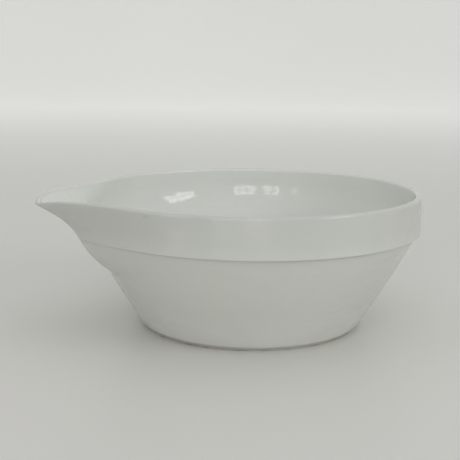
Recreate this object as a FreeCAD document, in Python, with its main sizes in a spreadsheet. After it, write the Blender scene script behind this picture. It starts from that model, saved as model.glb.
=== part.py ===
import FreeCAD, Part

# Porcelain evaporating dish with a pouring spout.
#
# A shallow footed bowl with a raised band below its rim and a broad beak let into the
# rim.  Millimetres, +Z up.  The origin is the centre of the face that the foot stands
# on, and the spout points along -X.

import math
import os

import Sketcher
from FreeCAD import Placement, Rotation, Vector

# Driving dimensions: alias and value.  They are those of the fired clay under its glaze.
SIZES = {
    # foot
    "bearing_inner": 69.0,
    "bearing_outer": 76.2,
    "recess_radius": 68.2,
    "recess_depth": 2.6,
    "foot_edge_height": 1.2,
    "foot_round": 0.6,
    # outside of the wall and the band
    "wall_foot_radius": 77.2,
    "wall_mid_radius": 98.6,
    "wall_mid_height": 35.3,
    "wall_top_radius": 117.2,
    "ledge_height": 69.5,
    "ledge_round": 0.7,
    "band_radius": 119.7,
    "band_top_radius": 119.2,
    "rim_height": 95.7,
    "lip_round": 1.8,
    # inside
    "bore_radius": 115.3,
    "bend_top_height": 86.5,
    "bend_round": 40.0,
    "bend_low_radius": 110.57,
    "bend_low_height": 67.65,
    "inner_mid_radius": 96.5,
    "inner_mid_height": 41.4,
    "floor_corner": 75.0,
    "floor_height": 6.3,
    "floor_round": 16.0,
    # spout
    "spout_reach": 148.6,
    "spout_underside": 90.2,
    "spout_half_angle": 46.1,
    "spout_crowning": 0.524,
    "keel_nose": 1.2,
    "trough_nose": 2.2,
    "keel_merge": 44.0,
    "keel_ledge": 0.15,
    "keel_tip_pull": 33.9,
    "keel_tip_slope": 31.3,
    "keel_wall_pull": 37.4,
    "keel_wall_slope": 35.6,
    "trough_depth": 5.2,
    "trough_tip_depth": 2.4,
    "spout_rise": 2.95,
    "spout_tip_rise": -0.29,
    "spout_lip_round": 0.7,
    # joint between the spout and the bowl
    "joint_half_angle": 54.0,
    "joint_height": 42.0,
    "joint_thickness": 0.5,
    # glaze
    "glaze_thickness": 0.35,
    "glaze_gap": 0.04,
    "glaze_line": 2.0,
    "base_glaze_radius": 66.6,
}

STATIONS = 12           # radial stations of the spout on each side of its keel
CROWDING = 1.8          # draws the stations together towards the keel
WALL_POINTS = 7         # points on each free curve of a station
KEEL_SAMPLES = 120      # steps along the keel line
CLEAR = 20.0            # how far cutting shapes reach past the dish

doc = FreeCAD.newDocument("evaporating_dish")
sizes = doc.addObject("Spreadsheet::Sheet", "sizes")
for row, (alias, value) in enumerate(SIZES.items(), start=1):
    sizes.set(f"A{row}", alias)
    sizes.set(f"B{row}", str(value))
    sizes.setAlias(f"B{row}", alias)
doc.recompute()


def size(alias):
    """The value that the sheet holds for an alias."""
    return float(sizes.get(alias))


# ---------------------------------------------------------------- sketched bodies

def origin_feature(body, role):
    """The origin plane or axis of a body with this role."""
    return next(f for f in body.Origin.OriginFeatures if f.Role == role)


def pin(sketch, kind, geometry, position, alias, axis):
    """Hold a vertex at a sheet dimension along X or Y, or on the axis for None."""
    if alias is None:
        sketch.addConstraint(Sketcher.Constraint("PointOnObject", geometry, position, axis))
        return
    rule = Sketcher.Constraint(kind, -1, 1, geometry, position, size(alias))
    sketch.setExpression(f"Constraints[{sketch.addConstraint(rule)}]", f"sizes.{alias}")


def side_shape(start, end, arc):
    """One side of an outline: a line, or an arc that stands out from the axis."""
    if arc is None:
        return Part.LineSegment(start, end)
    half = (end - start).Length / 2
    bulge = size(arc) - math.sqrt(size(arc) ** 2 - half ** 2)
    outward = Vector(start.y - end.y, end.x - start.x, 0).normalize()
    return Part.Arc(start, (start + end) * 0.5 + outward * bulge, end)


def half_section(body, name, outline):
    """Sketch a closed outline in a radial plane of the body.

    An entry is a corner and the side that leaves it: the aliases of the corner's radius
    and height, None for zero, and of the side's arc, None for a line.
    """
    sketch = body.newObject("Sketcher::SketchObject", name)
    sketch.AttachmentSupport = (origin_feature(body, "XZ_Plane"), [""])
    sketch.MapMode = "FlatFace"
    corners = [Vector(size(r) if r else 0.0, size(z) if z else 0.0, 0) for r, z, _ in outline]
    starts, ends = [], []
    for index, (_, _, arc) in enumerate(outline):
        start, end = corners[index], corners[(index + 1) % len(corners)]
        sketch.addGeometry(side_shape(start, end, arc), False)
        forward = sketch.getPoint(index, 1).distanceToPoint(start) < 1e-6
        starts.append(1 if forward else 2)
        ends.append(2 if forward else 1)
    for index, (radius, height, arc) in enumerate(outline):
        joined = (index - 1) % len(outline), ends[index - 1], index, starts[index]
        sketch.addConstraint(Sketcher.Constraint("Coincident", *joined))
        pin(sketch, "DistanceX", index, starts[index], radius, -2)
        pin(sketch, "DistanceY", index, starts[index], height, -1)
        if arc is not None:
            rule = Sketcher.Constraint("Radius", index, size(arc))
            sketch.setExpression(f"Constraints[{sketch.addConstraint(rule)}]", f"sizes.{arc}")
    return sketch


def turned_body(label, outline):
    """A body turned about its own Z axis from one closed half section."""
    body = doc.addObject("PartDesign::Body", label)
    body.Label = label
    turning = body.newObject("PartDesign::Revolution", f"{label}_turning")
    turning.Profile = half_section(body, f"{label}_section", outline)
    turning.ReferenceAxis = (origin_feature(body, "Z_Axis"), [""])
    turning.Angle = 360.0
    doc.recompute()
    return body


def round_edges(body, name, places, alias):
    """Round the full circles that run through the given (radius, height) places."""
    wanted = []
    for index, edge in enumerate(body.Tip.Shape.Edges, start=1):
        is_circle = isinstance(edge.Curve, Part.Circle)
        if is_circle and any(
            abs(edge.Curve.Radius - size(r)) < 0.01 and abs(edge.Curve.Center.z - z) < 0.01
            for r, z in places
        ):
            wanted.append(f"Edge{index}")
    if len(wanted) != len(places):
        raise RuntimeError(f"{name}: found {len(wanted)} of {len(places)} edges")
    rounding = body.newObject("PartDesign::Fillet", name)
    rounding.Base = (rounding.BaseFeature, wanted)
    rounding.setExpression("Radius", f"sizes.{alias}")
    doc.recompute()


BOWL_OUTLINE = [
    (None, "recess_depth", None),
    ("recess_radius", "recess_depth", None),
    ("bearing_inner", None, None),
    ("bearing_outer", None, None),
    ("wall_foot_radius", "foot_edge_height", None),
    ("wall_mid_radius", "wall_mid_height", None),
    ("wall_top_radius", "ledge_height", None),
    ("band_radius", "ledge_height", None),
    ("band_top_radius", "rim_height", None),
    ("bore_radius", "rim_height", None),
    ("bore_radius", "bend_top_height", "bend_round"),
    ("bend_low_radius", "bend_low_height", None),
    ("inner_mid_radius", "inner_mid_height", None),
    ("floor_corner", "floor_height", None),
    (None, "floor_height", None),
]


def make_bowl():
    """The bowl's body, with an opening for the spout, and its shape before the opening."""
    body = turned_body("bowl_body", BOWL_OUTLINE)
    rim, ledge = size("rim_height"), size("ledge_height")
    round_edges(body, "floor_bend", [("floor_corner", size("floor_height"))], "floor_round")
    lip = [("band_top_radius", rim), ("bore_radius", rim)]
    round_edges(body, "lip", lip, "lip_round")
    band = [("band_radius", ledge), ("wall_top_radius", ledge)]
    round_edges(body, "ledge", band, "ledge_round")
    foot = [("bearing_inner", 0.0), ("bearing_outer", 0.0)]
    round_edges(body, "foot_edges", foot, "foot_round")
    whole = body.Shape.copy()
    opening = body.newObject("PartDesign::Groove", "spout_opening")
    opening.Profile = opening_sketch(body)
    opening.ReferenceAxis = (origin_feature(body, "Z_Axis"), [""])
    opening.Midplane = True
    opening.setExpression("Angle", "2 * sizes.joint_half_angle")
    doc.recompute()
    if body.Shape.Volume > 0.95 * whole.Volume:
        raise RuntimeError("the spout opening removed too little")
    return body, whole


def opening_sketch(body):
    """The half section of the opening, on the spout's side of the bowl."""
    sketch = body.newObject("Sketcher::SketchObject", "opening_section")
    sketch.AttachmentSupport = (origin_feature(body, "XZ_Plane"), [""])
    sketch.MapMode = "FlatFace"
    sketch.AttachmentOffset = Placement(Vector(), Rotation(Vector(0, 1, 0), 180))
    low, high = size("joint_height"), size("rim_height") + CLEAR
    inner, outer = size("floor_corner"), size("band_radius") + CLEAR
    corners = [Vector(inner, low, 0), Vector(outer, low, 0), Vector(outer, high, 0),
               Vector(inner, high, 0)]
    for index, corner in enumerate(corners):
        sketch.addGeometry(Part.LineSegment(corner, corners[(index + 1) % 4]), False)
    for index in range(4):
        sketch.addConstraint(Sketcher.Constraint("Coincident", index, 2, (index + 1) % 4, 1))
        level = "Horizontal" if index % 2 == 0 else "Vertical"
        sketch.addConstraint(Sketcher.Constraint(level, index))
    pin(sketch, "DistanceX", 0, 1, "floor_corner", -2)
    pin(sketch, "DistanceY", 0, 1, "joint_height", -1)
    wide = Sketcher.Constraint("DistanceX", 0, 1, 0, 2, outer - inner)
    tall = Sketcher.Constraint("DistanceY", 1, 1, 1, 2, high - low)
    reach = f"sizes.band_radius - sizes.floor_corner + {CLEAR}"
    sketch.setExpression(f"Constraints[{sketch.addConstraint(wide)}]", reach)
    rise = f"sizes.rim_height - sizes.joint_height + {CLEAR}"
    sketch.setExpression(f"Constraints[{sketch.addConstraint(tall)}]", rise)
    return sketch


def make_base_glaze():
    """The disc of glaze on the recessed underside, inside the bare foot ring."""
    body = doc.addObject("PartDesign::Body", "base_glaze")
    body.Label = "base_glaze"
    sketch = body.newObject("Sketcher::SketchObject", "base_glaze_circle")
    sketch.AttachmentSupport = (origin_feature(body, "XY_Plane"), [""])
    sketch.MapMode = "FlatFace"
    circle = Part.Circle(Vector(), Vector(0, 0, 1), size("base_glaze_radius"))
    sketch.addGeometry(circle, False)
    sketch.addConstraint(Sketcher.Constraint("Coincident", 0, 3, -1, 1))
    rule = Sketcher.Constraint("Radius", 0, size("base_glaze_radius"))
    radius = sketch.addConstraint(rule)
    sketch.setExpression(f"Constraints[{radius}]", "sizes.base_glaze_radius")
    sketch.setExpression("AttachmentOffset.Base.z", "sizes.recess_depth - sizes.glaze_thickness")
    coat = body.newObject("PartDesign::Pad", "base_glaze_coat")
    coat.Profile = sketch
    coat.setExpression("Length", "sizes.glaze_thickness")
    doc.recompute()
    return body


# ---------------------------------------------------------------- the spout's surfaces

def between(height, corners):
    """Radius at a height on the straight runs between corners of the bowl's outline."""
    runs = sorted((size(z), size(r)) for r, z, _ in corners)
    for (low, low_radius), (high, high_radius) in zip(runs, runs[1:]):
        if height <= high or high == runs[-1][0]:
            return low_radius + (high_radius - low_radius) * (height - low) / (high - low)
    return runs[0][1]


def wall_radius(height):
    """Radius of the outside of the wall, below the ledge."""
    return between(height, BOWL_OUTLINE[4:7])


def band_radius(height):
    """Radius of the band, which stays as wide above the rim's own height."""
    return between(min(height, size("rim_height")), BOWL_OUTLINE[7:9])


def inner_radius(height):
    """Radius of the inside of the bowl at a height, through the bend under the lip."""
    bend, top = size("bend_round"), size("bend_top_height")
    if height >= top:
        return size("bore_radius")
    if height >= size("bend_low_height"):
        return size("bore_radius") - bend + math.sqrt(bend ** 2 - (top - height) ** 2)
    return between(height, BOWL_OUTLINE[11:14])


def keel_line():
    """Points of the keel, from the tip down to the wall, as (reach, height)."""
    tip = Vector(size("spout_reach"), size("spout_underside"), 0)
    foot = Vector(wall_radius(size("keel_merge")), size("keel_merge"), 0)
    tip_slope = math.radians(size("keel_tip_slope"))
    wall_slope = math.radians(size("keel_wall_slope"))
    tip_pull = Vector(math.cos(tip_slope), math.sin(tip_slope), 0) * size("keel_tip_pull")
    wall_pull = Vector(math.cos(wall_slope), math.sin(wall_slope), 0) * size("keel_wall_pull")
    curve = Part.BezierCurve()
    curve.setPoles([tip, tip - tip_pull, foot + wall_pull, foot])
    return [curve.value(step / KEEL_SAMPLES) for step in range(KEEL_SAMPLES + 1)]


def trough_line(keel):
    """Points of the trough above the keel, a wall's thickness inside it."""
    points = []
    for index, point in enumerate(keel):
        ahead, behind = keel[max(index - 1, 0)], keel[min(index + 1, len(keel) - 1)]
        along = (ahead - behind).normalize()
        share = (1 - index / KEEL_SAMPLES) ** 3
        depth = size("trough_depth") * (1 - share) + size("trough_tip_depth") * share
        points.append(point + Vector(-along.y, along.x, 0) * depth)
    return points


def reach_at(line, height):
    """Reach of a line of points, which fall in order, at a height."""
    for upper, lower in zip(line, line[1:]):
        if lower.y <= height <= upper.y:
            share = (upper.y - height) / (upper.y - lower.y)
            return upper.x + (lower.x - upper.x) * share
    upper, lower = (line[0], line[1]) if height > line[0].y else (line[-2], line[-1])
    return upper.x + (upper.x - lower.x) * (height - upper.y) / (upper.y - lower.y)


def beak(angle, base, reach, nose):
    """Radius at an angle from the keel of a round that is drawn out to a beak.

    The round has the radius base, and the beak reaches out to reach at the keel.
    """
    if reach <= base + 0.01:
        return base
    stretch = (reach / base - 1) / size("spout_crowning")
    half = math.acos(1 / (1 + stretch)) + nose
    away = math.hypot(angle, nose)
    if away >= half:
        return base
    tallest = 1 / math.cos(half - nose) - 1
    return base + (reach - base) * (1 / math.cos(half - away) - 1) / tallest


def drawn_share(angle):
    """How far the rim is drawn out at an angle, from 0 on the bowl to 1 at the tip."""
    half = math.radians(size("spout_half_angle"))
    nose = math.radians(size("keel_nose"))
    away = math.hypot(angle, nose)
    if away >= half:
        return 0.0
    return (1 / math.cos(half - away) - 1) / (1 / math.cos(half - nose) - 1)


def rim_level(angle):
    """Height of the clay rim at an angle from the keel."""
    drawn = drawn_share(angle)
    rise = size("spout_rise") * 4 * drawn * (1 - drawn) + size("spout_tip_rise") * drawn ** 2
    return size("rim_height") + rise


def lip_depth(angle):
    """How far the lip's rounding reaches down at an angle: the spout's lip is sharper."""
    plain = (1 - drawn_share(angle)) ** 4
    return size("spout_lip_round") + (size("lip_round") - size("spout_lip_round")) * plain


KEEL = keel_line()
TROUGH = trough_line(KEEL)


def outer_reach(angle, height, above_ledge):
    """Radius of the outside of the clay at an angle from the keel and a height."""
    base = band_radius(height) if above_ledge else wall_radius(height)
    if height <= size("keel_merge"):
        return base
    reach = reach_at(KEEL, height) - (0.0 if above_ledge else size("keel_ledge"))
    return beak(angle, base, reach, math.radians(size("keel_nose")))


def inner_reach(angle, height):
    """Radius of the inside of the clay at an angle from the keel and a height."""
    base = inner_radius(height)
    if height <= TROUGH[-1].y:
        return base
    return beak(angle, base, reach_at(TROUGH, height), math.radians(size("trough_nose")))


# ---------------------------------------------------------------- stations of the spout

def free_curve(points):
    """A smooth edge through points, with even parameters so that stations match."""
    curve = Part.BSplineCurve()
    even = [index / (len(points) - 1) for index in range(len(points))]
    curve.interpolate(Points=points, Parameters=even)
    return curve.toShape()


def levels(low, high):
    """Evenly spaced heights from low to high."""
    return [low + (high - low) * step / (WALL_POINTS - 1) for step in range(WALL_POINTS)]


def contour(angle, skin):
    """Edges up the outside, over the lip and down the inside, grown out by skin."""
    bottom, ledge = size("joint_height"), size("ledge_height") - skin
    top = rim_level(angle)
    shoulder = top - lip_depth(angle)
    way = Vector(-math.cos(angle), -math.sin(angle), 0)

    def place(radius, height):
        return way * radius + Vector(0, 0, height)

    outside_low = [place(outer_reach(angle, z, False) + skin, z) for z in levels(bottom, ledge)]
    outside_high = [place(outer_reach(angle, z, True) + skin, z) for z in levels(ledge, shoulder)]
    inside = [place(inner_reach(angle, z) - skin, z) for z in levels(shoulder, bottom)]
    crown = (outside_high[-1] + inside[0]) * 0.5
    crown.z = top + skin
    return [
        free_curve(outside_low),
        Part.makeLine(outside_low[-1], outside_high[0]),
        free_curve(outside_high),
        Part.Arc(outside_high[-1], crown, inside[0]).toShape(),
        free_curve(inside),
    ]


def first_point(edges):
    """Start of a chain of edges."""
    return edges[0].valueAt(edges[0].FirstParameter)


def last_point(edges):
    """End of a chain of edges."""
    return edges[-1].valueAt(edges[-1].LastParameter)


def clay_station(angle):
    """Closed section of the clay at an angle from the keel, above the joint's height."""
    edges = contour(angle, 0.0)
    return Part.Wire(edges + [Part.makeLine(last_point(edges), first_point(edges))])


def glaze_station(angle):
    """Closed section of the glaze over the clay at an angle from the keel."""
    clay, coat = contour(angle, size("glaze_gap")), contour(angle, size("glaze_thickness"))
    outer_foot = Part.makeLine(first_point(clay), first_point(coat))
    inner_foot = Part.makeLine(last_point(coat), last_point(clay))
    return Part.Wire(Part.__sortEdges__([*coat, inner_foot, *clay, outer_foot]))


def station_angles(half_angle):
    """Angles of the stations, closest together where the spout bends most."""
    side = [half_angle * (step / STATIONS) ** CROWDING for step in range(1, STATIONS + 1)]
    return [-angle for angle in reversed(side)] + [0.0] + side


def drawn_out(half_angle, section):
    """Solid that passes through a section at every station between two radial planes."""
    return Part.makeLoft([section(angle) for angle in station_angles(half_angle)], True, False)


def joint_angle(inset):
    """Half angle of the joint planes, drawn in by a distance at the wall."""
    return math.radians(size("joint_half_angle")) - inset / size("bore_radius")


def wedge(half_angle, low):
    """A tall wedge about the spout's side of the axis, from a height up."""
    radius = size("spout_reach") + CLEAR
    tall = size("rim_height") + CLEAR - low
    block = Part.makeCylinder(radius, tall, Vector(0, 0, low), Vector(0, 0, 1),
                              math.degrees(2 * half_angle))
    block.rotate(Vector(), Vector(0, 0, 1), 180 - math.degrees(half_angle))
    return block


def clay_section_solid():
    """The wall and rim above the joint, as if there were no spout."""
    face = Part.Face(clay_station(math.pi))
    return face.revolve(Vector(), Vector(0, 0, 1), 360)


def make_spout():
    """The beak, pressed on its own and set into the opening."""
    clay = drawn_out(joint_angle(size("joint_thickness")), clay_station)
    lifted = wedge(math.pi / 2, size("joint_height") + size("joint_thickness"))
    return named_solid("pouring_spout", clay.common(lifted))


def make_joint():
    """The slip that bonds the spout to the two sides and the sill of the opening."""
    thickness = size("joint_thickness")
    outer = wedge(joint_angle(0.0), size("joint_height"))
    inner = wedge(joint_angle(thickness), size("joint_height") + thickness)
    return named_solid("luting_joint", clay_section_solid().common(outer).cut(inner))


def radial_face(corners):
    """Face in the XZ plane through (radius, height) corners."""
    points = [Vector(radius, 0, height) for radius, height in corners]
    return Part.Face(Part.makePolygon(points + points[:1]))


def make_bowl_glaze(whole_bowl):
    """The glassy coat of the bowl, down the outside as far as the glaze line."""
    line, sill = size("glaze_line"), size("joint_height")
    far, high = size("band_radius") + CLEAR, size("rim_height") + CLEAR
    cut_plane = radial_face([(0, -CLEAR), (far, -CLEAR), (far, high), (0, high)])
    clay = cut_plane.common(whole_bowl).Faces[0]
    grown = clay.makeOffset2D(size("glaze_thickness"), 0, False, False)
    under_floor = (size("recess_depth") + size("floor_height")) / 2
    inside_foot = size("wall_foot_radius") - CLEAR / 4
    glazed = radial_face([(0, under_floor), (inside_foot, under_floor), (inside_foot, line),
                          (far, line), (far, sill), (0, sill)])
    coat = grown.cut(clay)
    turned = [face.revolve(Vector(), Vector(0, 0, 1), 360) for face in coat.common(glazed).Faces]
    beside_spout = coat.common(radial_face([(0, sill), (far, sill), (far, high), (0, high)])).Faces[0]
    opening = math.degrees(2 * joint_angle(0.0))
    beside_spout.rotate(Vector(), Vector(0, 0, 1), 180 + opening / 2)
    upper = beside_spout.revolve(Vector(), Vector(0, 0, 1), 360 - opening)
    return named_solid("bowl_glaze", upper.fuse(turned).removeSplitter())


def make_spout_glaze():
    """The glassy coat of the spout, which meets the bowl's at the joint planes."""
    return named_solid("spout_glaze", drawn_out(joint_angle(0.0), glaze_station))


def named_solid(label, shape):
    """Keep the one solid of a shape as a document object."""
    if len(shape.Solids) != 1:
        raise RuntimeError(f"{label}: {len(shape.Solids)} solids")
    feature = doc.addObject("Part::Feature", label)
    feature.Label = label
    feature.Shape = shape.Solids[0]
    feature.Placement = Placement()
    return feature


# ---------------------------------------------------------------- the dish

bowl, whole_bowl = make_bowl()
nodes = [
    bowl,
    make_spout(),
    make_joint(),
    make_bowl_glaze(whole_bowl),
    make_spout_glaze(),
    make_base_glaze(),
]
doc.recompute()

for item in doc.Objects:
    if "Invalid" in item.State or "Error" in item.State:
        raise RuntimeError(f"{item.Label}: {item.State}")

os.makedirs("parts", exist_ok=True)
for node in nodes:
    if node.Shape.isNull() or not node.Shape.isValid() or len(node.Shape.Solids) != 1:
        raise RuntimeError(f"{node.Label}: bad shape")
    node.Shape.exportStep(f"parts/{node.Label}.step")
    box = node.Shape.BoundBox
    print(node.Label, f"{node.Shape.Volume / 1000:.1f} cm3",
          f"{box.XMin:.1f}..{box.XMax:.1f} {box.YMin:.1f}..{box.YMax:.1f} {box.ZMin:.1f}..{box.ZMax:.1f}")
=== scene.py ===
"""Visual model of a glazed porcelain evaporating dish with a pouring spout.

The clay parts are the CAD's own. The glaze over them is modelled here as a thin, uneven
coat that follows the clay and stops above the bare foot ring, with a second pool of it in
the recess underneath. Metres, +Z up, the spout along -X.
"""
import logging
import math
from dataclasses import dataclass, field
from enum import Enum

import bmesh
import bpy
from mathutils import Matrix, Vector, noise


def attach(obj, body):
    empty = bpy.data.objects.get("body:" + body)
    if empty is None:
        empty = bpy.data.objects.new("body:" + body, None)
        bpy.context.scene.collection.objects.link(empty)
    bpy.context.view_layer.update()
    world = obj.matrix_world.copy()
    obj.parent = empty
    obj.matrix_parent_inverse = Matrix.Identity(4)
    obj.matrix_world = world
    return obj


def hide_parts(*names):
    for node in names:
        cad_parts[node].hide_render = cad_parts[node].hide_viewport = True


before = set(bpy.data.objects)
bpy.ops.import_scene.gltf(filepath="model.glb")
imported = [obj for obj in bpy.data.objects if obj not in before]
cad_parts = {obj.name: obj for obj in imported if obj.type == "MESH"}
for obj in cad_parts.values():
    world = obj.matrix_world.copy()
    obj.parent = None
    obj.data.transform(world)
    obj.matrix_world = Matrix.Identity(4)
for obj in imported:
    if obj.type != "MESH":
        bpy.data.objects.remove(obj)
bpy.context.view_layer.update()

LOG = logging.getLogger("dish")
BODY = "root"
RANGE_SOCKETS = ("From Min", "From Max", "To Min", "To Max")
Colour = tuple[float, float, float]

# Millimetres in metres, the point attribute that tells outside from inside, the radius
# under which a vertex is on the axis, and how far covered clay is drawn in.
MM = 0.001
OUTSIDE = "outside"
ON_AXIS = 0.01
UNDER_GLAZE = 0.35


# ------------------------------------------------------------------ small mathematics

def blend(low: float, high: float, share: float) -> float:
    """Value a share of the way from low to high.

    Args:
        low: Value at a share of 0.
        high: Value at a share of 1.
        share: How far along the way.

    Returns:
        The value there.
    """
    return low + (high - low) * share


def smooth_step(edge_low: float, edge_high: float, value: float) -> float:
    """Smooth rise from 0 at edge_low to 1 at edge_high.

    Args:
        edge_low: Where the rise starts.
        edge_high: Where it ends.
        value: Where it is read.

    Returns:
        The height of the rise at value.
    """
    share = min(max((value - edge_low) / (edge_high - edge_low), 0.0), 1.0)
    return share * share * (3.0 - 2.0 * share)


def along(points: list[tuple[float, float]], height: float) -> float:
    """Radius of a falling or rising line of (radius, height) points at a height.

    Args:
        points: The line, with heights in order.
        height: Where it is read; past either end the last run goes straight on.

    Returns:
        The radius there.
    """
    if points[0][1] > points[-1][1]:
        points = points[::-1]
    index = 0
    while index < len(points) - 2 and points[index + 1][1] < height:
        index += 1
    (low_radius, low), (high_radius, high) = points[index], points[index + 1]
    return blend(low_radius, high_radius, (height - low) / (high - low))


def arc_points(start: tuple[float, float], end: tuple[float, float], bulge: float,
               steps: int) -> list[tuple[float, float]]:
    """Points on a flat curve between two (radius, height) places.

    Args:
        start: First end.
        end: Last end.
        bulge: How far the middle stands out from the axis.
        steps: Number of runs.

    Returns:
        The points, both ends among them.
    """
    points = []
    for step in range(steps + 1):
        share = step / steps
        radius = blend(start[0], end[0], share) + 4.0 * bulge * share * (1.0 - share)
        points.append((radius, blend(start[1], end[1], share)))
    return points


def corner_points(before: tuple[float, float], corner: tuple[float, float],
                  after: tuple[float, float], radius: float, steps: int
                  ) -> list[tuple[float, float]]:
    """Points of the arc that rounds a corner of an outline.

    Args:
        before: A place on the side that comes in.
        corner: The sharp corner.
        after: A place on the side that leaves.
        radius: Radius of the rounding.
        steps: Number of runs on the arc.

    Returns:
        The points, both tangent points among them.
    """
    middle = Vector(corner)
    inward = (Vector(before) - middle).normalized()
    outward = (Vector(after) - middle).normalized()
    half = inward.angle(outward) / 2.0
    tangent = radius / math.tan(half)
    centre = middle + (inward + outward).normalized() * (radius / math.sin(half))
    first = middle + inward * tangent - centre
    last = middle + outward * tangent - centre
    turn = first.angle_signed(last)
    points = []
    for step in range(steps + 1):
        turned = first.copy()
        turned.rotate(Matrix.Rotation(-turn * step / steps, 2))
        points.append(tuple(centre + turned))
    return points


# ------------------------------------------------------------------ the dish's shape

@dataclass(frozen=True)
class DishShape:
    """Sizes of the fired clay in millimetres and radians, close to the CAD model's.

    The CAD wall's two cones are one smooth swell here, and the ledge fades at the keel.
    Places on the outline are (radius, height). The keel is the lowest line of the spout's
    underside and the trough is the lowest line of its channel. keel_tip and keel_wall are
    the length and slope of the keel's pull at either end.
    """

    bearing_inner: float = 69.0
    recess_depth: float = 2.6
    wall_foot: tuple[float, float] = (77.2, 1.2)
    wall_top: tuple[float, float] = (117.2, 69.5)
    wall_bulge: float = 1.45
    ledge_round: float = 0.7
    ledge_fade: tuple[float, float] = (math.radians(9.0), math.radians(25.0))
    ledge_ease: float = 9.0
    band_radius: float = 119.7
    band_top_radius: float = 119.2
    rim_height: float = 95.7
    lip_round: float = 1.8
    bore_radius: float = 115.3
    bend_top: float = 86.5
    bend_round: float = 40.0
    bend_low: tuple[float, float] = (110.57, 67.65)
    inner_middle: tuple[float, float] = (96.5, 41.4)
    inner_ease: float = 14.0
    floor_corner: tuple[float, float] = (75.0, 6.3)
    floor_round: float = 16.0
    spout_reach: float = 148.6
    spout_underside: float = 90.2
    spout_half_angle: float = math.radians(46.1)
    spout_crowning: float = 0.524
    keel_nose: float = math.radians(1.2)
    trough_nose: float = math.radians(2.2)
    keel_merge: float = 44.0
    keel_tip: tuple[float, float] = (33.9, math.radians(31.3))
    keel_wall: tuple[float, float] = (37.4, math.radians(35.6))
    trough_depth: float = 5.2
    trough_tip_depth: float = 2.4
    spout_rise: float = 2.95
    spout_tip_rise: float = -0.29
    spout_lip_round: float = 0.7
    keel_samples: int = 120

    def wall_radius(self, height: float) -> float:
        """Radius of the outside of the wall at a height.

        Args:
            height: Height above the foot.

        Returns:
            The radius of the straight wall with its slight swell.
        """
        (low_radius, low), (high_radius, high) = self.wall_foot, self.wall_top
        share = (height - low) / (high - low)
        swell = 4.0 * self.wall_bulge * share * (1.0 - share)
        return blend(low_radius, high_radius, share) + max(swell, 0.0)

    def band_radius_at(self, height: float) -> float:
        """Radius of the band at a height.

        Args:
            height: Height above the foot.

        Returns:
            The radius, which falls a little towards the lip.
        """
        low, high = self.wall_top[1], self.rim_height
        return blend(self.band_radius, self.band_top_radius, min((height - low) / (high - low), 1.0))

    def outer_radius(self, height: float) -> float:
        """Radius of the outside at a height.

        Args:
            height: Height above the foot.

        Returns:
            The wall's radius up to the ledge, and the band's above it.
        """
        return self.band_radius_at(height) if height > self.wall_top[1] else self.wall_radius(height)

    def inner_radius(self, height: float) -> float:
        """Radius of the inside at a height.

        Args:
            height: Height above the foot.

        Returns:
            The radius of the upright bore, the bend under it or the slope below.
        """
        if height >= self.bend_top:
            return self.bore_radius
        if height >= self.bend_low[1]:
            drop = self.bend_top - height
            return self.bore_radius - self.bend_round + math.sqrt(self.bend_round ** 2 - drop ** 2)
        line = [self.floor_corner, self.inner_middle, self.bend_low]
        bends = [(high[0] - low[0]) / (high[1] - low[1]) for low, high in zip(line, line[1:])]
        near = max(self.inner_ease - abs(height - self.inner_middle[1]), 0.0)
        return along(line, height) - (bends[0] - bends[1]) * near ** 2 / (4.0 * self.inner_ease)

    def middle_radius(self, height: float) -> float:
        """Radius of the middle of the wall at a height.

        Args:
            height: Height above the foot.

        Returns:
            The radius halfway through the clay, or the foot ring's inner edge below the floor.
        """
        if height < self.floor_corner[1] + 1e-6:
            return self.bearing_inner
        return (self.outer_radius(height) + self.inner_radius(height)) / 2.0

    def keel_line(self) -> list[tuple[float, float]]:
        """Draw the keel as one curve from the tip down to the wall.

        Returns:
            The keel's points, as (reach, height).
        """
        tip = Vector((self.spout_reach, self.spout_underside))
        foot = Vector((self.wall_radius(self.keel_merge), self.keel_merge))
        near_tip = tip - self.keel_tip[0] * Vector((math.cos(self.keel_tip[1]),
                                                    math.sin(self.keel_tip[1])))
        near_wall = foot + self.keel_wall[0] * Vector((math.cos(self.keel_wall[1]),
                                                       math.sin(self.keel_wall[1])))
        points = []
        for step in range(self.keel_samples + 1):
            share = step / self.keel_samples
            rest = 1.0 - share
            points.append(tuple(
                tip * rest ** 3 + near_tip * (3 * rest * rest * share)
                + near_wall * (3 * rest * share * share) + foot * share ** 3))
        return points

    def trough_line(self, keel: list[tuple[float, float]]) -> list[tuple[float, float]]:
        """Points of the trough, a wall's thickness inside the keel.

        Args:
            keel: The keel's points, from the tip down.

        Returns:
            The trough's points, in the same order.
        """
        points = []
        last = len(keel) - 1
        for index, point in enumerate(keel):
            ahead, behind = Vector(keel[max(index - 1, 0)]), Vector(keel[min(index + 1, last)])
            way = (ahead - behind).normalized()
            share = (1.0 - index / last) ** 3
            depth = blend(self.trough_depth, self.trough_tip_depth, share)
            points.append((point[0] - way.y * depth, point[1] + way.x * depth))
        return points

    def beak(self, angle: float, base: float, reach: float, nose: float) -> float:
        """Radius, at an angle from the keel, of a round drawn out to a beak.

        Args:
            angle: Angle from the keel.
            base: Radius of the round.
            reach: Radius at the keel.
            nose: Angle over which the beak's nose is rounded.

        Returns:
            The radius at the angle.
        """
        if reach <= base + 0.01:
            return base
        stretch = (reach / base - 1.0) / self.spout_crowning
        half = math.acos(1.0 / (1.0 + stretch)) + nose
        away = math.hypot(angle, nose)
        if away >= half:
            return base
        tallest = 1.0 / math.cos(half - nose) - 1.0
        return base + (reach - base) * (1.0 / math.cos(half - away) - 1.0) / tallest

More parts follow.
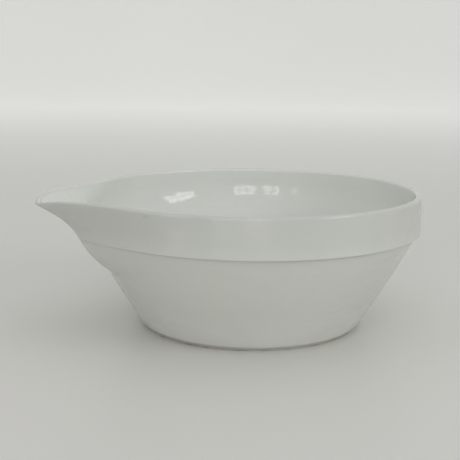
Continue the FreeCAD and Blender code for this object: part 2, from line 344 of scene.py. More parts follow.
    def ledge_step(self, angle: float, keel: list[tuple[float, float]]) -> float:
        """Depth of the ledge, from the band in to the wall, at an angle.

        Args:
            angle: Angle from the keel.
            keel: The keel's points.

        Returns:
            The step in radius.
        """
        reach = along(keel, self.wall_top[1])
        return self.beak(angle, self.band_radius, reach, self.keel_nose) \
            - self.beak(angle, self.wall_top[0], reach, self.keel_nose)

    def drawn(self, angle: float) -> float:
        """How far the rim is drawn out at an angle.

        Args:
            angle: Angle from the keel.

        Returns:
            A share from 0 on the bowl to 1 at the tip.
        """
        away = math.hypot(angle, self.keel_nose)
        if away >= self.spout_half_angle:
            return 0.0
        tallest = 1.0 / math.cos(self.spout_half_angle - self.keel_nose) - 1.0
        return (1.0 / math.cos(self.spout_half_angle - away) - 1.0) / tallest

    def rise(self, angle: float) -> float:
        """How far the drawn rim stands above the bowl's at an angle.

        Args:
            angle: Angle from the keel.

        Returns:
            The height, which is a little below 0 at the tip.
        """
        drawn = self.drawn(angle)
        return self.spout_rise * 4.0 * drawn * (1.0 - drawn) + self.spout_tip_rise * drawn ** 2

    def lip_depth(self, angle: float) -> float:
        """How far the lip's rounding reaches down at an angle.

        Args:
            angle: Angle from the keel.

        Returns:
            The depth, which is smaller on the thin lip of the spout.
        """
        plain = (1.0 - self.drawn(angle)) ** 4
        return blend(self.spout_lip_round, self.lip_round, plain)


@dataclass
class GlazeCoat:
    """The glassy coat inside, over the lip and down the outside to the foot.

    Sizes are in millimetres. The steps say how many runs each stretch of the outline has.
    """

    shape: DishShape = field(default_factory=DishShape)
    around: int = 360
    crowding: float = 0.55
    thickness: float = 0.25
    unevenness: float = 0.08
    shell: float = 0.18
    glaze_line: float = 1.3
    feather: float = 1.0
    feather_below: float = 0.6
    lift_above: float = 1.5
    ledge_margin: float = 4.0
    slope_margin: float = 8.0
    floor_lead: float = 6.0
    floor_clear: float = 1.0
    side_share: float = 0.8
    slow_wave: float = 38.0
    quick_wave: float = 15.0
    wall_steps: int = 26
    band_steps: int = 18
    ledge_in_steps: int = 4
    ledge_out_steps: int = 5
    lip_steps: int = 7
    bend_steps: int = 12
    slope_steps: int = 18
    floor_bend_steps: int = 9
    floor_steps: int = 12
    name: str = "glaze_coat"

    def profile(self) -> list[tuple[float, float]]:
        """Outline of the round bowl from the glaze line up, over the lip and in to the axis.

        Returns:
            The outline's points, as (radius, height).
        """
        return self.outside_outline() + self.lip_outline() + self.inside_outline()

    def outside_outline(self) -> list[tuple[float, float]]:
        """Outline of the wall, the ledge and the band, without the lip.

        Returns:
            The points, from the glaze line up.
        """
        s = self.shape
        ledge = (s.band_radius, s.wall_top[1])
        wall_end = (s.wall_radius(s.wall_top[1] - self.ledge_margin),
                    s.wall_top[1] - self.ledge_margin)
        wall = [(s.wall_radius(z), z) for z in
                (blend(self.glaze_line, wall_end[1], step / self.wall_steps)
                 for step in range(self.wall_steps + 1))]
        ledge_in = corner_points(wall_end, s.wall_top, ledge, s.ledge_round,
                                 self.ledge_in_steps)
        ledge_out = corner_points(s.wall_top, ledge, (s.band_top_radius, s.rim_height),
                                  s.ledge_round, self.ledge_out_steps)
        band = arc_points(ledge_out[-1], self.lip_outline()[0], 0.0, self.band_steps)[1:-1]
        return wall + ledge_in + ledge_out + band

    def lip_outline(self) -> list[tuple[float, float]]:
        """Outline of the lip's two roundings.

        Returns:
            The points, from the band over the top to the bore.
        """
        s = self.shape
        outer, inner = (s.band_top_radius, s.rim_height), (s.bore_radius, s.rim_height)
        over = corner_points((s.band_radius, s.wall_top[1]), outer, inner, s.lip_round,
                             self.lip_steps)
        down = corner_points(outer, inner, (s.bore_radius, s.bend_top), s.lip_round,
                             self.lip_steps)
        return over + down

    def inside_outline(self) -> list[tuple[float, float]]:
        """Outline of the bore, the bend under it, the slope and the floor.

        Returns:
            The points, from below the lip to the axis.
        """
        s = self.shape
        bore = arc_points(self.lip_outline()[-1], (s.bore_radius, s.bend_top), 0.0,
                          self.lip_steps)[1:]
        bend = [(s.inner_radius(z), z) for z in
                (blend(s.bend_top, s.bend_low[1], step / self.bend_steps)
                 for step in range(1, self.bend_steps + 1))]
        slope_low = s.floor_corner[1] + self.slope_margin
        lead = slope_low + self.floor_lead
        floor_bend = corner_points((s.inner_radius(lead), lead), s.floor_corner,
                                   (0.0, s.floor_corner[1]), s.floor_round,
                                   self.floor_bend_steps)
        slope_end = floor_bend[0][1] + self.floor_clear
        slope = [(s.inner_radius(z), z) for z in
                 (blend(s.bend_low[1], slope_low, step / self.slope_steps)
                  for step in range(1, self.slope_steps)) if z > slope_end]
        floor = arc_points(floor_bend[-1], (0.0, s.floor_corner[1]), 0.0, self.floor_steps)[1:]
        return bore + bend + slope + floor_bend + floor

    def shaped(self, angle: float, radius: float, height: float,
               keel: list[tuple[float, float]], trough: list[tuple[float, float]]
               ) -> tuple[float, float]:
        """Where a place of the round bowl goes when the spout is drawn out.

        Args:
            angle: Angle from the keel.
            radius: Radius on the round bowl.
            height: Height on the round bowl.
            keel: The keel's points.
            trough: The trough's points.

        Returns:
            The new radius and height.
        """
        s = self.shape
        shoulder = s.rim_height - s.lip_round
        lip = s.lip_depth(angle)
        top = s.rim_height + s.rise(angle)
        if height > shoulder:
            outer = s.beak(angle, s.band_radius_at(shoulder), along(keel, top - lip), s.keel_nose)
            inner = s.beak(angle, s.bore_radius, along(trough, top - lip), s.trough_nose)
            across = (radius - s.bore_radius) / (s.band_radius_at(shoulder) - s.bore_radius)
            return blend(inner, outer, across), top - (s.rim_height - height) * lip / s.lip_round
        if height <= s.keel_merge:
            return radius, height
        lifted = height + (top - lip - shoulder) * smooth_step(s.wall_top[1] + self.lift_above,
                                                               shoulder, height)
        if radius >= s.middle_radius(height):
            return self.outside_radius(angle, radius, height, lifted, keel), lifted
        if lifted <= trough[-1][1]:
            return radius, lifted
        return s.beak(angle, s.inner_radius(lifted), along(trough, lifted), s.trough_nose), lifted

    def outside_radius(self, angle: float, radius: float, height: float, lifted: float,
                       keel: list[tuple[float, float]]) -> float:
        """Radius of the outside after the spout is drawn out, with the ledge faded at the keel.

        Args:
            angle: Angle from the keel.
            radius: Radius on the round bowl.
            height: Height on the round bowl.
            lifted: Height after the rim is raised.
            keel: The keel's points.

        Returns:
            The new radius.
        """
        s = self.shape
        ledge = s.wall_top[1]
        reach = along(keel, lifted)
        wall = s.beak(angle, s.wall_radius(min(lifted, ledge)), reach, s.keel_nose)
        band = s.beak(angle, s.band_radius_at(max(lifted, ledge)), reach, s.keel_nose)
        faded = 1.0 - smooth_step(s.ledge_fade[0], s.ledge_fade[1], abs(angle))
        wall += s.ledge_step(angle, keel) * faded * smooth_step(ledge - s.ledge_ease, ledge, lifted)
        if height > ledge + s.ledge_round:
            return band
        wall_radius = s.wall_radius(min(height, ledge))
        share = (radius - wall_radius) / (s.band_radius_at(height) - wall_radius)
        return blend(wall, band, min(max(share, 0.0), 1.0))

    def build(self) -> bpy.types.Object:
        """Spin the outline, draw the spout out of it and give it the coat's thickness.

        Returns:
            The coat, as an object at the origin.
        """
        mesh_data = bmesh.new()
        spin_outline(mesh_data, [(r * MM, z * MM) for r, z in self.profile()], self.around)
        self.draw_spout(mesh_data)
        bmesh.ops.recalc_face_normals(mesh_data, faces=mesh_data.faces)
        self.lay_glaze(mesh_data)
        piece = finished(self.name, mesh_data)
        shell = piece.modifiers.new("coat", "SOLIDIFY")
        shell.thickness = self.shell * MM
        shell.offset = -1.0
        return piece

    def draw_spout(self, mesh_data: bmesh.types.BMesh) -> None:
        """Crowd the stations towards the spout and move the vertices near it.

        The share of each vertex that faces outwards is kept as a point attribute.

        Args:
            mesh_data: The spun bowl.
        """
        outside = mesh_data.verts.layers.float.new(OUTSIDE)
        keel = self.shape.keel_line()
        trough = self.shape.trough_line(keel)
        for vertex in mesh_data.verts:
            radius = math.hypot(vertex.co.x, vertex.co.y) / MM
            if radius < ON_AXIS:
                continue
            middle = self.shape.middle_radius(vertex.co.z / MM)
            vertex[outside] = smooth_step(middle - self.side_share, middle + self.side_share,
                                          radius)
            even = math.atan2(-vertex.co.y, -vertex.co.x)
            angle = even - self.crowding * math.sin(even)
            radius, height = self.shaped(angle, radius, vertex.co.z / MM, keel, trough)
            vertex.co = Vector((-math.cos(angle) * radius, -math.sin(angle) * radius, height)) * MM

    def lay_glaze(self, mesh_data: bmesh.types.BMesh) -> None:
        """Move the surface out by the glaze, which is uneven and feathers out at the foot.

        Args:
            mesh_data: The surface of the clay, with the spout drawn.
        """
        mesh_data.normal_update()
        moves = []
        for vertex in mesh_data.verts:
            place = vertex.co / MM
            waves = noise.noise(place / self.slow_wave) * 0.6 \
                + noise.noise(place / self.quick_wave) * 0.4
            depth = self.thickness + self.unevenness * waves
            outside = math.hypot(place.x, place.y) > self.shape.bearing_inner
            if outside and place.z < self.glaze_line + self.feather:
                depth *= smooth_step(-self.feather_below, self.feather,
                                     place.z - self.glaze_line)
            moves.append(vertex.normal * (depth * MM))
        for vertex, move in zip(mesh_data.verts, moves):
            vertex.co += move


@dataclass
class BaseCoat:
    """The pool of glaze in the recess under the floor, inside the bare foot ring.

    Sizes are in millimetres. Its edge is rounded over the outer seventh of its radius.
    """

    shape: DishShape = field(default_factory=DishShape)
    radius: float = 66.6
    thickness: float = 0.3
    edge: float = 0.05
    thinnest: float = 0.06
    edge_divisor: float = 7.0
    rings: int = 14
    around: int = 180
    name: str = "base_coat"

    def build(self) -> bpy.types.Object:
        """Spin the pool's outline about the axis.

        Returns:
            The pool, as an object at the origin.
        """
        top = self.shape.recess_depth
        mesh_data = bmesh.new()
        outline = [(0.0, top), (self.radius, top), (self.radius, top - self.edge)]
        for step in range(1, self.rings + 1):
            share = step / self.rings
            edge = min(share * self.edge_divisor, 1.0)
            depth = self.thickness * math.sqrt(1.0 - (1.0 - edge) ** 2)
            outline.append((self.radius * (1.0 - share), top - max(depth, self.thinnest)))
        spin_outline(mesh_data, [(r * MM, z * MM) for r, z in outline], self.around)
        bmesh.ops.recalc_face_normals(mesh_data, faces=mesh_data.faces)
        return finished(self.name, mesh_data)


def spin_outline(mesh_data: bmesh.types.BMesh, outline: list[tuple[float, float]],
                 steps: int) -> None:
    """Spin an outline of (radius, height) points, in metres, once about the Z axis.

    Args:
        mesh_data: The mesh that takes the surface.
        outline: The points; those on the axis close into a pole.
        steps: Number of steps around.
    """
    chain = [mesh_data.verts.new((-radius, 0.0, height)) for radius, height in outline]
    edges = [mesh_data.edges.new(pair) for pair in zip(chain, chain[1:])]
    bmesh.ops.spin(mesh_data, geom=chain + edges, cent=(0, 0, 0), axis=(0, 0, 1),
                   dvec=(0, 0, 0), angle=2 * math.pi, steps=steps, use_merge=True,
                   use_normal_flip=False, use_duplicate=False)
    bmesh.ops.remove_doubles(mesh_data, verts=mesh_data.verts, dist=1e-6)


def finished(name: str, mesh_data: bmesh.types.BMesh) -> bpy.types.Object:
    """Turn a bmesh into a smooth-shaded object at the origin.

    Args:
        name: Name of the object and its mesh.
        mesh_data: The shape, freed here.

    Returns:
        The object, linked to the scene.
    """
    mesh = bpy.data.meshes.new(name)
    mesh_data.to_mesh(mesh)
    mesh_data.free()
    mesh.shade_smooth()
    piece = bpy.data.objects.new(name, mesh)
    bpy.context.scene.collection.objects.link(piece)
    return piece


# ------------------------------------------------------------------ finishes

class NodePen:
    """Writes shader nodes into one material with little ceremony."""

    def __init__(self, name: str) -> None:
        """Start a material with a Principled shader.

        Args:
            name: The material's name.
        """
        self.material = bpy.data.materials.new(name)
        self.material.use_nodes = True
        self.tree = self.material.node_tree
        self.shader = self.tree.nodes["Principled BSDF"]
        self.place = self.add("ShaderNodeTexCoord").outputs["Object"]

    def add(self, kind: str, **settings: object) -> bpy.types.Node:
        """Add a node and set its properties.

        Args:
            kind: Blender's name for the node's type.
            settings: Properties of the node, by name.

        Returns:
            The node.
        """
        node = self.tree.nodes.new(kind)
        for key, value in settings.items():
            setattr(node, key, value)
        return node

    def link(self, source: bpy.types.NodeSocket, target: bpy.types.NodeSocket) -> None:
        """Join two sockets.

        Args:
            source: The output.
            target: The input.
        """
        self.tree.links.new(source, target)

    def noise(self, scale: float, detail: float = 3.0, stretch: Vector | None = None
              ) -> bpy.types.NodeSocket:
        """Noise in object space; scale is in cycles per metre.

        Args:
            scale: Cycles per metre.
            detail: Octaves.
            stretch: Factors along X, Y and Z before the noise is read.

        Returns:
            The noise value's socket.
        """
        texture = self.add("ShaderNodeTexNoise")
        texture.inputs["Scale"].default_value = scale
        texture.inputs["Detail"].default_value = detail
        source = self.place
        if stretch is not None:
            mapping = self.add("ShaderNodeMapping")
            mapping.inputs["Scale"].default_value = stretch
            self.link(self.place, mapping.inputs["Vector"])
            source = mapping.outputs["Vector"]
        self.link(source, texture.inputs["Vector"])
        return texture.outputs["Fac"]

    def remap(self, value: bpy.types.NodeSocket, low: float, high: float, to_low: float,
              to_high: float) -> bpy.types.NodeSocket:
        """Map a range onto another along a smooth step, clamped at both ends.

        Args:
            value: The socket that is read.
            low: Where the range starts.
            high: Where it ends.
            to_low: Result at the start.
            to_high: Result at the end.

        Returns:
            The result's socket.
        """
        node = self.add("ShaderNodeMapRange", interpolation_type="SMOOTHSTEP")
        for socket, number in zip(RANGE_SOCKETS, (low, high, to_low, to_high)):
            node.inputs[socket].default_value = number
        self.link(value, node.inputs["Value"])
        return node.outputs["Result"]

    def maths(self, operation: str, first: bpy.types.NodeSocket | float,
              second: bpy.types.NodeSocket | float = 0.0) -> bpy.types.NodeSocket:
        """One arithmetic step on sockets or numbers.

        Args:
            operation: Blender's name for the step.
            first: The first operand.
            second: The second operand, where the step has one.

        Returns:
            The result's socket.
        """
        node = self.add("ShaderNodeMath", operation=operation)
        for socket, value in zip(node.inputs, (first, second)):
            if isinstance(value, (int, float)):
                socket.default_value = value
            else:
                self.link(value, socket)
        return node.outputs[0]

    def height(self) -> bpy.types.NodeSocket:
        """Read the height above the foot.

        Returns:
            The height's socket, in metres.
        """
        split = self.add("ShaderNodeSeparateXYZ")
        self.link(self.place, split.inputs["Vector"])
        return split.outputs["Z"]

    def mix(self, share: bpy.types.NodeSocket, first: bpy.types.NodeSocket | Colour,
            second: bpy.types.NodeSocket | Colour) -> bpy.types.NodeSocket:
        """Mix two colours.

        Args:
            share: How much of the second colour shows.
            first: Colour at a share of 0.
            second: Colour at a share of 1.

        Returns:
            The mixed colour's socket.
        """
        node = self.add("ShaderNodeMix", data_type="RGBA")
        self.link(share, node.inputs["Factor"])
        for socket, value in ((node.inputs[6], first), (node.inputs[7], second)):
            if isinstance(value, tuple):
                socket.default_value = (*value, 1.0)
            else:
                self.link(value, socket)
        return node.outputs[2]

    def bump(self, height: bpy.types.NodeSocket, depth: float,
             under: bpy.types.NodeSocket | None = None) -> bpy.types.NodeSocket:
        """Bump from a height.

        Args:
            height: The height, from 0 to 1.
            depth: What a height of 1 stands for, in metres.
            under: Normal that the bump is laid over.

        Returns:
            The normal's socket.
        """
        node = self.add("ShaderNodeBump")
        node.inputs["Strength"].default_value = 1.0
        node.inputs["Distance"].default_value = depth
        self.link(height, node.inputs["Height"])
        if under is not None:
            self.link(under, node.inputs["Normal"])
        return node.outputs["Normal"]


@dataclass(frozen=True)
class Mark:
    """A small tinted patch, used for blemishes and also for painted shade and a painted highlight.
    Its place and its reach along X, Y and Z are in millimetres.
    """

    place: tuple[float, float, float]
    reach: tuple[float, float, float]
    colour: Colour
    strength: float
    ragged: float = 0.5

    def share(self, pen: NodePen) -> bpy.types.NodeSocket:
        """How strongly the mark shows at each point.

        Args:
            pen: The material being written.

        Returns:
            A value from 0 off the mark to its strength at its middle.
        """
        offset = pen.add("ShaderNodeVectorMath", operation="SUBTRACT")
        pen.link(pen.place, offset.inputs[0])
        offset.inputs[1].default_value = [value * MM for value in self.place]
        scaled = pen.add("ShaderNodeVectorMath", operation="DIVIDE")
        pen.link(offset.outputs["Vector"], scaled.inputs[0])
        scaled.inputs[1].default_value = [value * MM for value in self.reach]
        length = pen.add("ShaderNodeVectorMath", operation="LENGTH")
        pen.link(scaled.outputs["Vector"], length.inputs[0])
        wobble = pen.maths("MULTIPLY", pen.noise(700.0, 4.0), self.ragged)
        distance = pen.maths("ADD", length.outputs["Value"], wobble)
        return pen.remap(distance, 0.35 + self.ragged * 0.5, 1.0 + self.ragged * 0.5,
                         self.strength, 0.0)


@dataclass(frozen=True)
class GlazeFinish:
    """Glossy feldspar glaze over grey-white porcelain, with the wear of use.

    The inside is painted lighter than the outside, and the outside is painted darker on the band
    and lighter at the foot: painted light and shade on one glaze. Heights and depths are in
    metres, and blends are the two heights between which one tone gives way to the next.
    """

    # Lit and shaded copies of one glaze: the inside painted lighter, the band painted darker and the
    # foot painted lighter.
    inner: Colour = (0.768, 0.785, 0.750)
    band: Colour = (0.600, 0.613, 0.585)
    wall: Colour = (0.668, 0.683, 0.654)
    foot: Colour = (0.745, 0.763, 0.732)
    cooler: Colour = (0.680, 0.703, 0.680)
    warmer: Colour = (0.690, 0.690, 0.635)
    speck: Colour = (0.30, 0.27, 0.22)
    # Colour of the painted shade in the corner under the band.
    ledge_shade: Colour = (0.560, 0.590, 0.550)
    roughness: float = 0.075
    refraction: float = 1.5
    band_blend: tuple[float, float] = (0.062, 0.082)
    foot_blend: tuple[float, float] = (0.002, 0.034)
    ledge_height: float = 0.0696
    ledge_shade_reach: tuple[float, float] = (0.0002, 0.0016)
    ledge_shade_wander: float = 0.0012
    wave_depth: float = 0.00050
    ripple_depth: float = 0.00005
    skin_depth: float = 0.000003
    marks: tuple[Mark, ...] = (
        # Stain on the lip beside the spout, and a pale streak down the band from it, a painted
        # highlight along the crease where the spout's flank leaves the band.
        Mark((-103.5, -60.5, 93.6), (5.0, 5.0, 2.6), (0.44, 0.37, 0.24), 0.85),
        Mark((-101.4, -62.9, 82.0), (0.9, 0.9, 15.0), (0.86, 0.87, 0.84), 0.40, 0.25),
        # Painted shade on the spout's flank, and a stain at its tip.
        Mark((-127.0, -17.0, 81.0), (3.0, 1.6, 6.0), (0.52, 0.52, 0.48), 0.40, 0.8),
        Mark((-150.5, -2.5, 94.0), (5.0, 3.0, 2.2), (0.55, 0.51, 0.38), 0.45, 0.8),
        # Two dark nicks and a faint stain round the rest of the lip.
        Mark((109.6, -41.6, 95.6), (2.0, 2.0, 1.5), (0.24, 0.21, 0.18), 0.85, 0.6),
        Mark((63.0, 99.0, 95.2), (1.6, 1.6, 1.2), (0.33, 0.29, 0.24), 0.7, 0.6),
        Mark((-20.0, 117.5, 95.0), (7.0, 3.0, 1.8), (0.58, 0.54, 0.43), 0.35, 0.8),
    )

    def material(self) -> bpy.types.Material:
        """Build the glaze's nodes.

        Returns:
            The material.
        """
        pen = NodePen("porcelain_glaze")
        broad = pen.remap(pen.noise(11.0, 2.0), 0.35, 0.65, 0.0, 1.0)
        facing = pen.add("ShaderNodeAttribute", attribute_name=OUTSIDE)
        # Painted light and shade: the outside darker on the band and lighter at the foot, the inside
        # lighter than the outside.
        outer = pen.mix(pen.remap(pen.height(), *self.band_blend, 0.0, 1.0), self.wall, self.band)
        outer = pen.mix(pen.remap(pen.height(), *self.foot_blend, 0.0, 1.0), self.foot, outer)
        colour = pen.mix(facing.outputs["Fac"], self.inner, outer)
        colour = pen.mix(pen.maths("MULTIPLY", broad, 0.25), colour, self.cooler)
        warm = pen.remap(pen.noise(23.0, 4.0), 0.5, 0.72, 0.0, 0.35)
        colour = pen.mix(warm, colour, self.warmer)
        # Painted shade along the corner under the band, on the outside only.
        ledge_shade = pen.maths("MULTIPLY", self.ledge_shade_share(pen), facing.outputs["Fac"])
        colour = pen.mix(ledge_shade, colour, self.ledge_shade)
        colour = pen.mix(self.speck_share(pen), colour, self.speck)
        for mark in self.marks:
            colour = pen.mix(mark.share(pen), colour, mark.colour)
        pen.link(colour, pen.shader.inputs["Base Color"])
        self.polish(pen)
        self.relief(pen)
        pen.shader.inputs["IOR"].default_value = self.refraction
        return pen.material

    def ledge_shade_share(self, pen: NodePen) -> bpy.types.NodeSocket:
        """Where shade is painted in the corner under the band.

        Args:
            pen: The material being written.

        Returns:
            A share that is largest along the ledge.
        """
        wander = pen.maths("MULTIPLY", pen.noise(45.0, 2.0), self.ledge_shade_wander)
        level = pen.maths("ADD", pen.height(), wander)
        away = pen.maths("ABSOLUTE", pen.maths("SUBTRACT", level, self.ledge_height))
        return pen.remap(away, *self.ledge_shade_reach, 0.55, 0.0)

    def speck_share(self, pen: NodePen) -> bpy.types.NodeSocket:
        """Rare pinhole specks of iron in the glaze.

        Args:
            pen: The material being written.

        Returns:
            A share that is above 0 only on a speck.
        """
        cells = pen.add("ShaderNodeTexVoronoi")
        cells.inputs["Scale"].default_value = 95.0
        pen.link(pen.place, cells.inputs["Vector"])
        rare = pen.add("ShaderNodeSeparateColor")
        pen.link(cells.outputs["Color"], rare.inputs["Color"])
        chosen = pen.remap(rare.outputs["Red"], 0.955, 0.965, 0.0, 0.75)
        dot = pen.remap(cells.outputs["Distance"], 0.015, 0.04, 1.0, 0.0)
        return pen.maths("MULTIPLY", chosen, dot)

    def polish(self, pen: NodePen) -> None:
        """Gloss that is dulled a little by wear and fine scratches.

        Args:
            pen: The material being written.
        """
        smear = pen.remap(pen.noise(36.0, 4.0), 0.45, 0.75, 0.0, 0.10)
        scratches = pen.noise(240.0, 2.0, Vector((1.0, 14.0, 1.0)))
        scuffs = pen.remap(scratches, 0.66, 0.76, 0.0, 0.10)
        total = pen.maths("ADD", pen.maths("ADD", smear, scuffs), self.roughness)
        pen.link(total, pen.shader.inputs["Roughness"])

    def relief(self, pen: NodePen) -> None:
        """Slow waves from the throwing, with the glaze's fine skin over them.

        Args:
            pen: The material being written.
        """
        rings = pen.noise(55.0, 1.5, Vector((1.0, 1.0, 2.2)))
        waves = pen.bump(rings, self.wave_depth)
        ripples = pen.bump(pen.noise(190.0, 2.0), self.ripple_depth, under=waves)
        skin = pen.bump(pen.noise(1500.0, 1.0), self.skin_depth, under=ripples)
        pen.link(skin, pen.shader.inputs["Normal"])


@dataclass(frozen=True)
class ClayFinish:
    """Fired porcelain without glaze, as on the foot ring, darkened by painted contact shadow where
    it stands.
    """

    colour: Colour = (0.66, 0.63, 0.57)
    paler: Colour = (0.72, 0.70, 0.65)
    # Colour of the painted contact shadow at the foot.
    contact_shade: Colour = (0.20, 0.18, 0.155)
    contact_shade_heights: tuple[float, float] = (0.0002, 0.0019)
    contact_shade_shares: tuple[float, float] = (0.60, 0.15)
    grain_depth: float = 0.00008

    def material(self) -> bpy.types.Material:
        """Build the bare clay's nodes.

        Returns:
            The material.
        """
        pen = NodePen("bare_porcelain")
        clouds = pen.remap(pen.noise(70.0, 3.0), 0.4, 0.6, 0.0, 1.0)
        body = pen.mix(clouds, self.colour, self.paler)
        # Painted contact shadow: darker towards the table, broken up by noise.
        low = pen.remap(pen.height(), *self.contact_shade_heights, *self.contact_shade_shares)
        shade_blotches = pen.remap(pen.noise(160.0, 6.0), 0.35, 0.68, 0.25, 1.0)
        colour = pen.mix(pen.maths("MULTIPLY", low, shade_blotches), body, self.contact_shade)
        pen.link(colour, pen.shader.inputs["Base Color"])
        roughness = pen.remap(pen.noise(400.0, 2.0), 0.3, 0.7, 0.62, 0.85)
        pen.link(roughness, pen.shader.inputs["Roughness"])
        grain = pen.bump(pen.noise(2600.0, 3.0), self.grain_depth)
        pen.link(grain, pen.shader.inputs["Normal"])
        return pen.material


# ------------------------------------------------------------------ the studio

class Side(Enum):
    """Which imaginary wall of the room a window is in, seen from behind the camera."""

    FRONT = "front"
    RIGHT = "right"


@dataclass(frozen=True)
class Window:
    """A window of glowing panes with bars between them.

    The span runs along the wall, positive towards the camera's right on the front wall
    and towards the camera on the right wall.
    """

    name: str
    side: Side
    span: tuple[float, float]
    heights: tuple[float, float]
    panes: tuple[int, int]
    glow: float
    away: float
    bar: float = 0.05
    tint: Colour = (1.0, 1.0, 1.0)

    def build(self, turn: Matrix) -> None:
        """Place one area light for each pane.

        Args:
            turn: Rotation from the camera's directions to the dish's.
        """
        columns, rows = self.panes
        width = (self.span[1] - self.span[0]) / columns
        height = (self.heights[1] - self.heights[0]) / rows
        for column in range(columns):
            for row in range(rows):
                across = self.span[0] + width * (column + 0.5)
                level = self.heights[0] + height * (row + 0.5)
                self.build_pane(turn, across, level, width - self.bar, height - self.bar)

    def build_pane(self, turn: Matrix, across: float, level: float, width: float,
                   height: float) -> None:
        """Place one pane.

        Args:
            turn: Rotation from the camera's directions to the dish's.
            across: The pane's middle along the wall.
            level: The pane's middle above the floor.
            width: The pane's width.
            height: The pane's height.
        """
        data = bpy.data.lights.new(self.name, "AREA")
        data.shape = "RECTANGLE"
        data.size, data.size_y = width, height
        data.energy = self.glow * math.pi * width * height
        data.color = self.tint
        pane = bpy.data.objects.new(self.name, data)
        if self.side is Side.FRONT:
            where, facing = Vector((across, -self.away, level)), Vector((0.0, 1.0, 0.0))
        else:
            where, facing = Vector((self.away, -across, level)), Vector((-1.0, 0.0, 0.0))
        pane.location = turn @ where
        pane.rotation_euler = (turn @ facing).to_track_quat("-Z", "Y").to_euler()
        pane.visible_camera = False
        bpy.context.scene.collection.objects.link(pane)


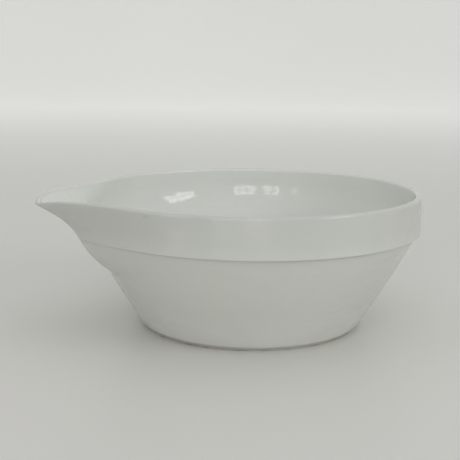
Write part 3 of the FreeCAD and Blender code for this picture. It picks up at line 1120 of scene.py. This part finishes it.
@dataclass
class Studio:
    """Camera, floor, backdrop and lights. Lengths are in metres; the bearing is in degrees."""

    camera_bearing: float = -118.0
    distance: float = 0.67106
    height: float = 0.19291
    down: float = math.radians(10.725)
    yaw: float = math.radians(1.272)
    roll: float = math.radians(0.566)
    lens: float = 74.37
    cove_flat: float = 2.6
    cove_radius: float = 3.4
    cove_top: float = 2.4
    cove_rings: tuple[float, ...] = (0.3, 0.8)
    cove_bend_steps: int = 12
    cove_roughness: float = 0.40
    cove_tones: tuple[Colour, Colour] = ((0.76, 0.755, 0.725), (0.78, 0.775, 0.745))
    ambient: float = 0.59
    ambient_rise: tuple[float, float] = (0.50, 0.95)
    ambient_shares: tuple[float, float] = (0.65, 1.25)
    back_glow: float = 0.22
    back_reach: tuple[float, float] = (0.3, 2.8)
    windows: tuple[Window, ...] = (
        Window("window_front", Side.FRONT, (-0.12, 0.60), (0.27, 1.40), (3, 2), 3.2, 2.3),
        Window("window_front_left", Side.FRONT, (-1.00, -0.40), (0.27, 1.40), (2, 2), 3.2, 2.3),
        Window("window_far_left", Side.FRONT, (-1.72, -1.52), (0.40, 1.30), (1, 2), 3.2, 2.3),
        Window("window_right", Side.RIGHT, (0.47, 1.85), (0.70, 1.45), (4, 2), 5.0, 1.9),
    )

    def build(self) -> None:
        """Build everything that isn't the dish."""
        self.build_camera()
        self.build_cove()
        self.build_world()
        for window in self.windows:
            window.build(self.turn())
        bpy.context.scene.view_settings.view_transform = "Standard"

    def turn(self) -> Matrix:
        """Rotation from the camera's directions, with +Y ahead, to the dish's."""
        return Matrix.Rotation(math.radians(self.camera_bearing) + math.pi / 2.0, 3, "Z")

    def build_camera(self) -> None:
        """Place the camera at its bearing, with its small yaw and roll."""
        data = bpy.data.cameras.new("camera")
        data.lens = self.lens
        data.sensor_width = 36.0
        camera = bpy.data.objects.new("camera", data)
        turn = self.turn()
        ahead = Vector((-math.sin(self.yaw) * math.cos(self.down),
                        math.cos(self.yaw) * math.cos(self.down), -math.sin(self.down)))
        right = Vector((math.cos(self.yaw), math.sin(self.yaw), 0.0))
        up = right.cross(ahead)
        rolled_right = right * math.cos(self.roll) + up * math.sin(self.roll)
        rolled_up = up * math.cos(self.roll) - right * math.sin(self.roll)
        axes = Matrix((turn @ rolled_right, turn @ rolled_up, turn @ -ahead)).transposed()
        where = turn @ Vector((0.0, -self.distance, self.height))
        camera.matrix_world = Matrix.Translation(where) @ axes.to_4x4()
        bpy.context.scene.collection.objects.link(camera)
        bpy.context.scene.camera = camera

    def build_cove(self) -> None:
        """Build the round floor that sweeps up into a wall."""
        mesh_data = bmesh.new()
        bend = self.cove_radius - self.cove_flat
        outline = [(radius, 0.0) for radius in (0.0, *self.cove_rings, self.cove_flat)]
        for step in range(1, self.cove_bend_steps + 1):
            turn = math.pi / 2.0 * step / self.cove_bend_steps
            outline.append((self.cove_flat + bend * math.sin(turn), bend * (1.0 - math.cos(turn))))
        outline.append((self.cove_radius, self.cove_top))
        spin_outline(mesh_data, outline, 96)
        cove = finished("cove", mesh_data)
        cove.data.materials.append(self.cove_paint())

    def cove_paint(self) -> bpy.types.Material:
        """Pale satin paint that glows a little on the far side, like a lit wall.

        Returns:
            The material.
        """
        pen = NodePen("cove_paint")
        tone = pen.remap(pen.noise(1.3, 2.0), 0.3, 0.7, 0.0, 1.0)
        pen.link(pen.mix(tone, *self.cove_tones), pen.shader.inputs["Base Color"])
        pen.shader.inputs["Roughness"].default_value = self.cove_roughness
        ahead = self.turn() @ Vector((0.0, 1.0, 0.0))
        reach = pen.add("ShaderNodeVectorMath", operation="DOT_PRODUCT")
        reach.inputs[1].default_value = ahead
        pen.link(pen.place, reach.inputs[0])
        glow = pen.remap(reach.outputs["Value"], *self.back_reach, 0.0, self.back_glow)
        pen.shader.inputs["Emission Color"].default_value = (0.98, 1.0, 1.0, 1.0)
        pen.link(glow, pen.shader.inputs["Emission Strength"])
        return pen.material

    def build_world(self) -> None:
        """Pale light from all round that is stronger overhead."""
        world = bpy.data.worlds.new("studio_air")
        world.use_nodes = True
        tree = world.node_tree
        background = tree.nodes["Background"]
        background.inputs["Color"].default_value = (1.0, 1.0, 1.0, 1.0)
        way = tree.nodes.new("ShaderNodeTexCoord")
        split = tree.nodes.new("ShaderNodeSeparateXYZ")
        rise = tree.nodes.new("ShaderNodeMapRange")
        strengths = [self.ambient * share for share in self.ambient_shares]
        for socket, number in zip(RANGE_SOCKETS, (*self.ambient_rise, *strengths)):
            rise.inputs[socket].default_value = number
        tree.links.new(way.outputs["Generated"], split.inputs["Vector"])
        tree.links.new(split.outputs["Z"], rise.inputs["Value"])
        tree.links.new(rise.outputs["Result"], background.inputs["Strength"])
        bpy.context.scene.world = world


# ------------------------------------------------------------------ making it all

def dress(piece: bpy.types.Object, material: bpy.types.Material) -> None:
    """Give a piece one material.

    Args:
        piece: The object.
        material: Its only material.
    """
    piece.data.materials.clear()
    piece.data.materials.append(material)


def draw_in(piece: bpy.types.Object) -> None:
    """Draw a covered piece in a little, so that it stays under its glaze.

    Args:
        piece: The object.
    """
    shrink = piece.modifiers.new("under_glaze", "DISPLACE")
    shrink.strength = -UNDER_GLAZE * MM
    shrink.mid_level = 0.0


def main() -> None:
    """Build the studio, the glaze and the finishes."""
    logging.basicConfig(level=logging.INFO, format="%(name)s: %(message)s")
    Studio().build()
    glaze = GlazeFinish().material()
    clay = ClayFinish().material()
    coat = GlazeCoat().build()
    dress(coat, glaze)
    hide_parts("bowl_glaze", "spout_glaze")
    base = BaseCoat().build()
    dress(base, glaze)
    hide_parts("base_glaze")
    for piece in (coat, base):
        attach(piece, BODY)
        LOG.info("%s: %d vertices", piece.name, len(piece.data.vertices))
    for node in ("bowl_body", "pouring_spout", "luting_joint"):
        dress(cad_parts[node], clay)
    for node in ("pouring_spout", "luting_joint"):
        draw_in(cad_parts[node])
        LOG.info("%s: drawn in under the glaze", node)


if __name__ == "__main__":
    main()
